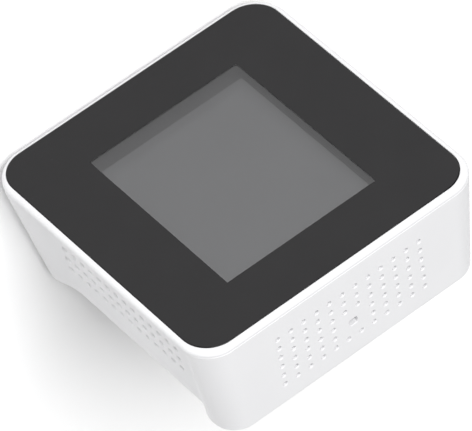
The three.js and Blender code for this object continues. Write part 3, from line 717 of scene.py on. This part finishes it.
def cover_screw(index, x, z):
    """A pan head screw with a cross recess and a threaded shank."""
    seat = DEPTH - SCREW["sunk"] - SCREW["head"]
    tip, length = SCREW["tip"], SCREW["length"]
    profile = [(AXIS, seat - length), (tip, seat - length)]
    for i in range(THREAD["turns"]):
        y = seat - THREAD["start"] + i * THREAD["pitch"]
        profile += [(radius, y + rise) for radius, rise in THREAD_TURN]
    profile += [(radius, seat + rise) for radius, rise in SCREW_UNDERSIDE]
    side = seat + SCREW_UNDERSIDE[-1][1]
    profile += [(SCREW["head_radius"] - SCREW["head_round"] + cosine, side + sine)
                for sine, cosine in fillet(SCREW["head_round"], steps=5)[1:]]
    face = seat + SCREW["head"]
    profile.append((AXIS, face))
    screw = lathe(f"cover_screw_head_{index}", profile, x, z, sides=40)
    change(screw, [cross_recess(x, z, face)], "DIFFERENCE")
    return screw


def cross_recess(x, z, face):
    """Four tapered wings, as a cross shaped cutter."""
    def cross(scale, y):
        reach = CROSS["reach"] * scale
        width = CROSS["slim"] * (1 - CROSS["taper"] + CROSS["taper"] * scale)
        corner = [(width, reach), (-width, reach), (-width, width), (-reach, width), (-reach, -width),
                  (-width, -width), (-width, -reach), (width, -reach), (width, -width), (reach, -width),
                  (reach, width), (width, width)]
        return [Vector((x + a, y, z + b)) for a, b in corner]

    return lofted("cross_recess", [
        cross(CROSS["floor_scale"], face - CROSS["depth"]),
        cross(1.0, face),
        cross(1.0, face + CROSS["above"]),
    ])


def charging_port():
    """A socket shell with rolled edges round a tongue with its rows of contacts."""
    front, back, wall, z = PORT["front"], PORT["back"], PORT["wall"], PORT["z"]
    mouth, bevel, inset = back - PORT["mouth"], PORT["mouth_bevel"], CONTACTS["inset"]
    bm = bmesh.new()
    add_loft(bm, [
        at_depth(pill(0), front + PORT["start"]),
        at_depth(pill(0), mouth),
        at_depth(pill(-bevel), back),
        at_depth(pill(-wall + bevel), back),
        at_depth(pill(-wall), mouth),
        at_depth(pill(-wall), front + PORT["floor"]),
    ])
    tongue = about(0, z, TONGUE["half"], TONGUE["high"], TONGUE["corner"], steps=3)
    tip = about(0, z, TONGUE["tip_half"], TONGUE["tip_high"], TONGUE["corner"], steps=3)
    add_loft(bm, [
        at_depth(tongue, front + TONGUE["start"]),
        at_depth(tongue, back - TONGUE["end"]),
        at_depth(tip, back - TONGUE["tip_end"]),
    ])
    for side in (-1, 1):
        for i in range(CONTACTS["count"]):
            x = (i - (CONTACTS["count"] - 1) / 2) * CONTACTS["pitch"]
            bar = about(x, z + side * CONTACTS["off"], CONTACTS["half"], CONTACTS["high"],
                        CONTACTS["corner"], steps=2)
            add_loft(bm, [at_depth(bar, y) for y in (front + inset, back - inset)])
    return finish_mesh(bm, "charging_socket")


def base_foot():
    """A rubber pad with soft edges and shallow grip grooves across its underside."""
    edge, top_edge, thick = FOOT["edge"], FOOT["top_edge"], FOOT["thick"]
    rings = [level(foot_outline(-edge + sine), edge - cosine) for sine, cosine in fillet(edge, steps=5)]
    rings += [level(foot_outline(0), thick - top_edge), level(foot_outline(-top_edge), thick)]
    foot = lofted("base_foot_pad", rings, axes=foot_axes())
    mouth, floor = GROOVES["mouth"], GROOVES["floor"]
    below, depth = -GROOVES["below"], GROOVES["depth"]
    bm = bmesh.new()
    for i in range(GROOVES["count"]):
        y = (i - GROOVES["count"] // 2) * GROOVES["pitch"]
        section = [(y - mouth, below), (y + mouth, below), (y + floor, depth), (y - floor, depth)]
        add_loft(bm, [[Vector((x, at, height)) for at, height in section]
                      for x in (-GROOVES["half"], GROOVES["half"])])
    change(foot, [finish_mesh(bm, "grip_grooves", foot_axes())], "DIFFERENCE")
    return foot


def lcd_panel():
    """The display glass with its polariser film as a slightly raised sheet."""
    bm = bmesh.new()

    def sheet(half, low, high, y0, y1, corner):
        add_loft(bm, [
            at_depth(rounded(-half + inset, half - inset, low + inset, high - inset, corner, steps=4), y)
            for inset, y in ((LCD_BEVEL, y0), (0, y0 + LCD_BEVEL), (0, y1))
        ])

    front, film = LCD["front"], LCD_FILM
    sheet(LCD["half"], -LCD["high"], LCD["high"], front + LCD["behind_film"], LCD["back"], LCD["corner"])
    glass_faces = len(bm.faces)
    sheet(film["half"], film["low"], film["high"], front, front + film["thick"], film["corner"])
    bm.faces.ensure_lookup_table()
    for face in bm.faces[glass_faces:]:
        face.material_index = 1
    return finish_mesh(bm, "lcd_panel_glass")


# ---- Materials -------------------------------------------------------------------------------
class Look:
    """A node material built around one Principled shader, in object coordinates."""

    def __init__(self, name, **sockets):
        self.material = bpy.data.materials.new(name)
        self.material.use_nodes = True
        self.tree = self.material.node_tree
        self.shader = self.tree.nodes["Principled BSDF"]
        for socket, value in sockets.items():
            self.shader.inputs[socket.replace("_", " ")].default_value = value
        self.place = self.tree.nodes.new("ShaderNodeTexCoord").outputs["Object"]

    def node(self, kind, settings=None, **inputs):
        made = self.tree.nodes.new("ShaderNode" + kind)
        for key, value in (settings or {}).items():
            setattr(made, key, value)
        for socket, value in inputs.items():
            target = made.inputs[socket.replace("_", " ")]
            if isinstance(value, bpy.types.NodeSocket):
                self.tree.links.new(value, target)
            else:
                target.default_value = value
        return made

    def noise(self, scale, detail, roughness=0.55, place=None):
        made = self.node("TexNoise", Vector=place or self.place, Scale=scale, Detail=detail,
                         Roughness=roughness)
        return made.outputs["Fac"]

    def cells(self, scale, settings=None):
        made = self.node("TexVoronoi", settings, Vector=self.place, Scale=scale)
        return made.outputs["Distance"]

    def waves(self, direction, scale, distortion):
        made = self.node("TexWave", {"bands_direction": direction}, Vector=self.place, Scale=scale,
                         Distortion=distortion)
        return made.outputs["Fac"]

    def joined(self, operation, first, second):
        made = self.node("Math", {"operation": operation})
        self.tree.links.new(first, made.inputs[0])
        self.tree.links.new(second, made.inputs[1])
        return made.outputs[0]

    def between(self, value, low, high, start=0.3, end=0.7):
        """The value's range start to end, spread over low to high."""
        made = self.node("MapRange", Value=value, From_Min=start, From_Max=end, To_Min=low, To_Max=high)
        return made.outputs["Result"]

    def colours(self, value, low, high, start=0.3, end=0.7):
        """A colour ramp from low, where the value is at start, to high, where it is at end."""
        ramp = self.node("ValToRGB", Fac=value)
        for element, position, colour in zip(ramp.color_ramp.elements, (start, end), (low, high)):
            element.position = position
            element.color = (*colour, 1)
        return ramp.outputs["Color"]

    def coloured(self, *ramp):
        self.tree.links.new(self.colours(*ramp), self.shader.inputs["Base Color"])

    def roughened(self, value):
        self.tree.links.new(value, self.shader.inputs["Roughness"])

    def bumped(self, height, distance):
        made = self.node("Bump", Height=height, Distance=distance)
        self.tree.links.new(made.outputs["Normal"], self.shader.inputs["Normal"])


def shades(colour, spread):
    """A darker and a lighter colour about the given one."""
    return (tuple(channel * (1 - spread) for channel in colour),
            tuple(min(channel * (1 + spread), 1) for channel in colour))


def moulded(name, colour, roughness, grain, spread, scale, **sockets):
    """Injection moulded plastic: spark eroded grain, faint flow mottling and handling wear."""
    look = Look(name, **sockets)
    look.coloured(look.noise(60, 3), *shades(colour, spread), 0.35, 0.65)
    grain_noise = look.noise(scale, 2)
    worn = look.between(look.noise(220, 5), roughness - 0.05, roughness + 0.03)
    look.roughened(look.joined("ADD", worn, look.between(grain_noise, -0.03, 0.03)))
    look.bumped(grain_noise, grain)
    return look.material


def rubber(name, colour, roughness):
    look = Look(name, Specular_IOR_Level=0.3)
    look.coloured(look.noise(400, 6), *shades(colour, 0.18))
    look.roughened(look.between(look.noise(900, 4), roughness - 0.08, roughness + 0.1))
    look.bumped(look.noise(5000, 3), 0.00005)
    return look.material


def foam():
    """Open cell foam: dark round pores between lighter walls."""
    look = Look("gasket_foam", Specular_IOR_Level=0.15)
    pores = look.cells(2600)
    look.coloured(pores, (0.03, 0.03, 0.032), (0.11, 0.11, 0.115), 0.1, 0.6)
    look.roughened(look.between(pores, 0.95, 0.8, 0, 0.6))
    look.bumped(pores, 0.0001)
    return look.material


def metal(name, colour, roughness, stretch=(60, 60, 4000)):
    """Plated or drawn metal with fine lines along one direction."""
    look = Look(name, Metallic=1.0)
    stretched = look.node("Mapping", Vector=look.place, Scale=stretch).outputs["Vector"]
    lines = look.noise(1, 6, 0.7, stretched)
    look.coloured(lines, *shades(colour, 0.08))
    drawn = look.between(lines, roughness - 0.06, roughness + 0.06)
    look.roughened(look.joined("ADD", drawn, look.between(look.noise(350, 4), -0.03, 0.05)))
    look.bumped(lines, 0.000006)
    return look.material


def circuit_board():
    """Solder mask over copper tracks and vias."""
    look = Look("circuit_board", Coat_Weight=0.3, Coat_Roughness=0.15)
    tracks = look.node("TexBrick", {"offset": 0.35, "squash": 1.0}, Vector=look.place, Scale=260.0,
                       Mortar_Size=0.03, Brick_Width=0.9, Row_Height=0.22).outputs["Fac"]
    mask = look.colours(tracks, (0.012, 0.085, 0.038), (0.03, 0.17, 0.07), 0.2, 0.8)
    vias = look.between(look.cells(420), 1, 0, 0.1, 0.14)
    blend = look.node("MixRGB", Fac=vias, Color1=mask, Color2=(0.55, 0.42, 0.18, 1))
    look.tree.links.new(blend.outputs["Color"], look.shader.inputs["Base Color"])
    look.roughened(look.between(look.noise(700, 4), 0.3, 0.45))
    look.bumped(tracks, 0.00003)
    return look.material


def polyimide():
    """Amber film over parallel copper tracks."""
    look = Look("polyimide_film", Specular_IOR_Level=0.6)
    tracks = look.waves("X", 320, 0)
    look.coloured(tracks, (0.42, 0.16, 0.025), (0.62, 0.3, 0.08))
    look.roughened(look.between(look.noise(500, 3), 0.22, 0.4))
    look.bumped(tracks, 0.00002)
    return look.material


def cell_foil():
    """Crinkled laminated foil."""
    look = Look("cell_foil", Metallic=0.7)
    look.coloured(look.noise(90, 4), (0.42, 0.44, 0.47), (0.58, 0.6, 0.63))
    look.roughened(look.between(look.noise(800, 3), 0.28, 0.42))
    look.bumped(look.cells(180, {"feature": "DISTANCE_TO_EDGE"}), 0.00005)
    return look.material


def dust_cloth():
    """Fine woven mesh: two crossed sets of threads."""
    look = Look("dust_cloth", Sheen_Weight=0.2, Specular_IOR_Level=0.2)
    threads = look.joined("MAXIMUM", look.waves("X", 1100, 0.4), look.waves("Z", 1100, 0.4))
    look.coloured(threads, (0.3, 0.3, 0.31), (0.62, 0.62, 0.64), 0.2, 0.8)
    look.roughened(look.between(threads, 0.95, 0.8, 0, 1))
    look.bumped(threads, 0.00006)
    return look.material


def light_guide():
    """White acrylic with printed dots that spread the light."""
    look = Look("light_guide", Specular_IOR_Level=0.5)
    dots = look.cells(900)
    look.coloured(dots, (0.88, 0.88, 0.85), (0.74, 0.74, 0.71), 0.15, 0.4)
    look.roughened(look.between(look.noise(600, 3), 0.25, 0.4))
    look.bumped(dots, 0.00001)
    return look.material


def display_film(name, colour, painted_glow):
    """Satin display surface with an even colour, a faint anti-glare grain and painted light: an emission
    that brightens the unlit screen and evens out the printed border's shade on it.
    """
    # The emission is painted light, not a backlight: the screen is not lit.
    look = Look(name, Specular_IOR_Level=0.35, Emission_Color=(1, 1, 1.02, 1), Emission_Strength=painted_glow)
    look.coloured(look.noise(45, 2), *shades(colour, 0.03))
    grain = look.noise(12000, 2)
    look.roughened(look.between(grain, 0.37, 0.43))
    look.bumped(grain, 0.000003)
    return look.material


def printed_ink():
    """Black ink under the glass's polished face."""
    look = Look("printed_border", Specular_IOR_Level=0.32)
    look.coloured(look.noise(80, 3), (0.0065, 0.006, 0.007), (0.0085, 0.008, 0.009))
    look.roughened(look.between(look.noise(40, 3), *POLISH))
    return look.material


def pane(name, mirror):
    """Clear glass that passes light straight through; mirror adds its polished reflection."""
    material = bpy.data.materials.new(name)
    material.use_nodes = True
    tree = material.node_tree
    tree.nodes.clear()
    output = tree.nodes.new("ShaderNodeOutputMaterial")
    place = tree.nodes.new("ShaderNodeTexCoord").outputs["Object"]
    clear = tree.nodes.new("ShaderNodeBsdfTransparent")
    haze = tree.nodes.new("ShaderNodeTexNoise")
    haze.inputs["Scale"].default_value = 40
    haze.inputs["Detail"].default_value = 3
    tree.links.new(place, haze.inputs["Vector"])
    tint = tree.nodes.new("ShaderNodeValToRGB")
    for element, colour in zip(tint.color_ramp.elements, PANE_TINTS):
        element.color = (*colour, 1)
    tree.links.new(haze.outputs["Fac"], tint.inputs["Fac"])
    tree.links.new(tint.outputs["Color"], clear.inputs["Color"])
    if not mirror:
        tree.links.new(clear.outputs["BSDF"], output.inputs["Surface"])
        return material
    gloss = tree.nodes.new("ShaderNodeBsdfGlossy")
    polish = tree.nodes.new("ShaderNodeMapRange")
    polish.inputs["To Min"].default_value, polish.inputs["To Max"].default_value = POLISH
    tree.links.new(haze.outputs["Fac"], polish.inputs["Value"])
    tree.links.new(polish.outputs["Result"], gloss.inputs["Roughness"])
    fresnel = tree.nodes.new("ShaderNodeFresnel")
    fresnel.inputs["IOR"].default_value = GLASS_IOR
    blend = tree.nodes.new("ShaderNodeMixShader")
    tree.links.new(fresnel.outputs["Fac"], blend.inputs["Fac"])
    tree.links.new(clear.outputs["BSDF"], blend.inputs[1])
    tree.links.new(gloss.outputs["BSDF"], blend.inputs[2])
    tree.links.new(blend.outputs["Shader"], output.inputs["Surface"])
    return material


# The record's slots. front_glass isn't one of them: its only node is replaced by the glass plate.
LOOKS = {
    "white_plastic": moulded("white_plastic", (0.8, 0.8, 0.812), 0.42, 0.000012, 0.008, 9000,
                             Specular_IOR_Level=0.4),
    "foam": foam(),
    # the display border's emission is painted light, not a backlight
    "lcd_glass": display_film("display_border", (0.1, 0.1, 0.102), 0.062),
    "light_guide": light_guide(),
    "black_plastic": moulded("black_plastic", (0.014, 0.014, 0.016), 0.5, 0.00003, 0.15, 6000),
    "flat_cable": polyimide(),
    "circuit_board": circuit_board(),
    "steel": metal("plated_steel", (0.62, 0.63, 0.65), 0.28),
    "gold_metal": metal("gold_plate", (0.75, 0.55, 0.2), 0.25, (1500, 40, 40)),
    "cell_foil": cell_foil(),
    "wire_red": rubber("wire_sleeve_red", (0.38, 0.022, 0.02), 0.5),
    "foot_rubber": rubber("foot_rubber", (0.17, 0.17, 0.18), 0.75),
    "dust_cloth": dust_cloth(),
}


# ---- Assembly --------------------------------------------------------------------------------
def show(piece, nodes, body, materials):
    """Puts a piece on its body, lets it stand for its CAD nodes and gives its regions their looks."""
    settle(piece)
    regions = [face.material_index for face in piece.data.polygons]
    piece.data.materials.clear()
    for material in materials:
        piece.data.materials.append(material)
    for face, region in zip(piece.data.polygons, regions):
        face.material_index = region
    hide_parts(*nodes)
    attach(piece, body)
    piece.data.name = piece.name


def carry_over():
    """Gives every CAD node that stays the look of its slot in the record."""
    for part in frame["record"]["subparts"]:
        look = LOOKS.get(part["material_slot"])
        if look is None:
            continue
        for material_slot in frame["nodes"][part["node"]].material_slots:
            material_slot.material = look


def build():
    carry_over()
    white, steel = [LOOKS["white_plastic"]], [LOOKS["steel"]]
    # the film's emission is painted light that brightens the screen and hides the printed border's shade
    # on it
    film = display_film("display_film", (0.1, 0.1, 0.103), 0.113)
    glass = [pane("glass_front", True), printed_ink(), pane("glass_back", False)]
    show(front_frame(), ["front_frame"], "case", white)
    show(cover_glass(), ["cover_glass"], "case", glass)
    show(rear_housing(), ["rear_housing"], "case", white)
    show(back_cover(), ["back_cover"], "case", white)
    show(power_button(), ["power_button"], "button", white)
    for i, (x, z) in enumerate(COVER_SCREWS, 1):
        show(cover_screw(i, x, z), [f"cover_screw_{i}"], "case", steel)
    show(charging_port(), ["charging_port"], "case", steel)
    show(base_foot(), ["base_foot"], "case", [LOOKS["foot_rubber"]])
    show(lcd_panel(), ["lcd_panel"], "case", [LOOKS["lcd_glass"], film])


# ---- Studio ----------------------------------------------------------------------------------
def camera():
    data = bpy.data.cameras.new("camera")
    data.lens = CAMERA_LENS
    data.sensor_width = CAMERA_SENSOR
    data.clip_end = CAMERA_REACH
    data.dof.use_dof = False
    made = bpy.data.objects.new("camera", data)
    back = CAMERA_RIGHT.cross(CAMERA_UP).normalized()
    up = back.cross(CAMERA_RIGHT).normalized()
    axes = Matrix((CAMERA_RIGHT.normalized(), up, back)).transposed().to_4x4()
    made.matrix_world = Matrix.Translation(CAMERA_PLACE) @ axes
    bpy.context.scene.collection.objects.link(made)
    bpy.context.scene.camera = made


def floor():
    bm = bmesh.new()
    bmesh.ops.create_grid(bm, x_segments=8, y_segments=8, size=FLOOR_REACH)
    mesh = bpy.data.meshes.new("floor")
    bm.to_mesh(mesh)
    bm.free()
    made = bpy.data.objects.new("floor", mesh)
    bpy.context.scene.collection.objects.link(made)
    look = Look("studio_floor", Specular_IOR_Level=0.1, Roughness=0.9)
    look.coloured(look.noise(3, 2), (0.93, 0.93, 0.93), (0.95, 0.95, 0.95))
    made.data.materials.append(look.material)


def soft_light(name, direction, distance, size, power):
    """A round light that faces the origin."""
    direction = Vector(direction)
    data = bpy.data.lights.new(name, "AREA")
    data.shape = "DISK"
    data.size = size
    data.energy = power
    made = bpy.data.objects.new(name, data)
    made.location = direction.normalized() * distance
    made.rotation_mode = "QUATERNION"
    made.rotation_quaternion = direction.to_track_quat("Z", "Y")
    bpy.context.scene.collection.objects.link(made)


def studio():
    camera()
    floor()
    soft_light("key", **KEY_LIGHT)
    soft_light("fill", **FILL_LIGHT)
    world = bpy.data.worlds.new("studio")
    bpy.context.scene.world = world
    world.use_nodes = True
    background = world.node_tree.nodes["Background"]
    background.inputs["Color"].default_value = (1, 1, 1, 1)
    background.inputs["Strength"].default_value = WORLD_LIGHT
    bpy.context.scene.view_settings.view_transform = "Standard"


build()
studio()
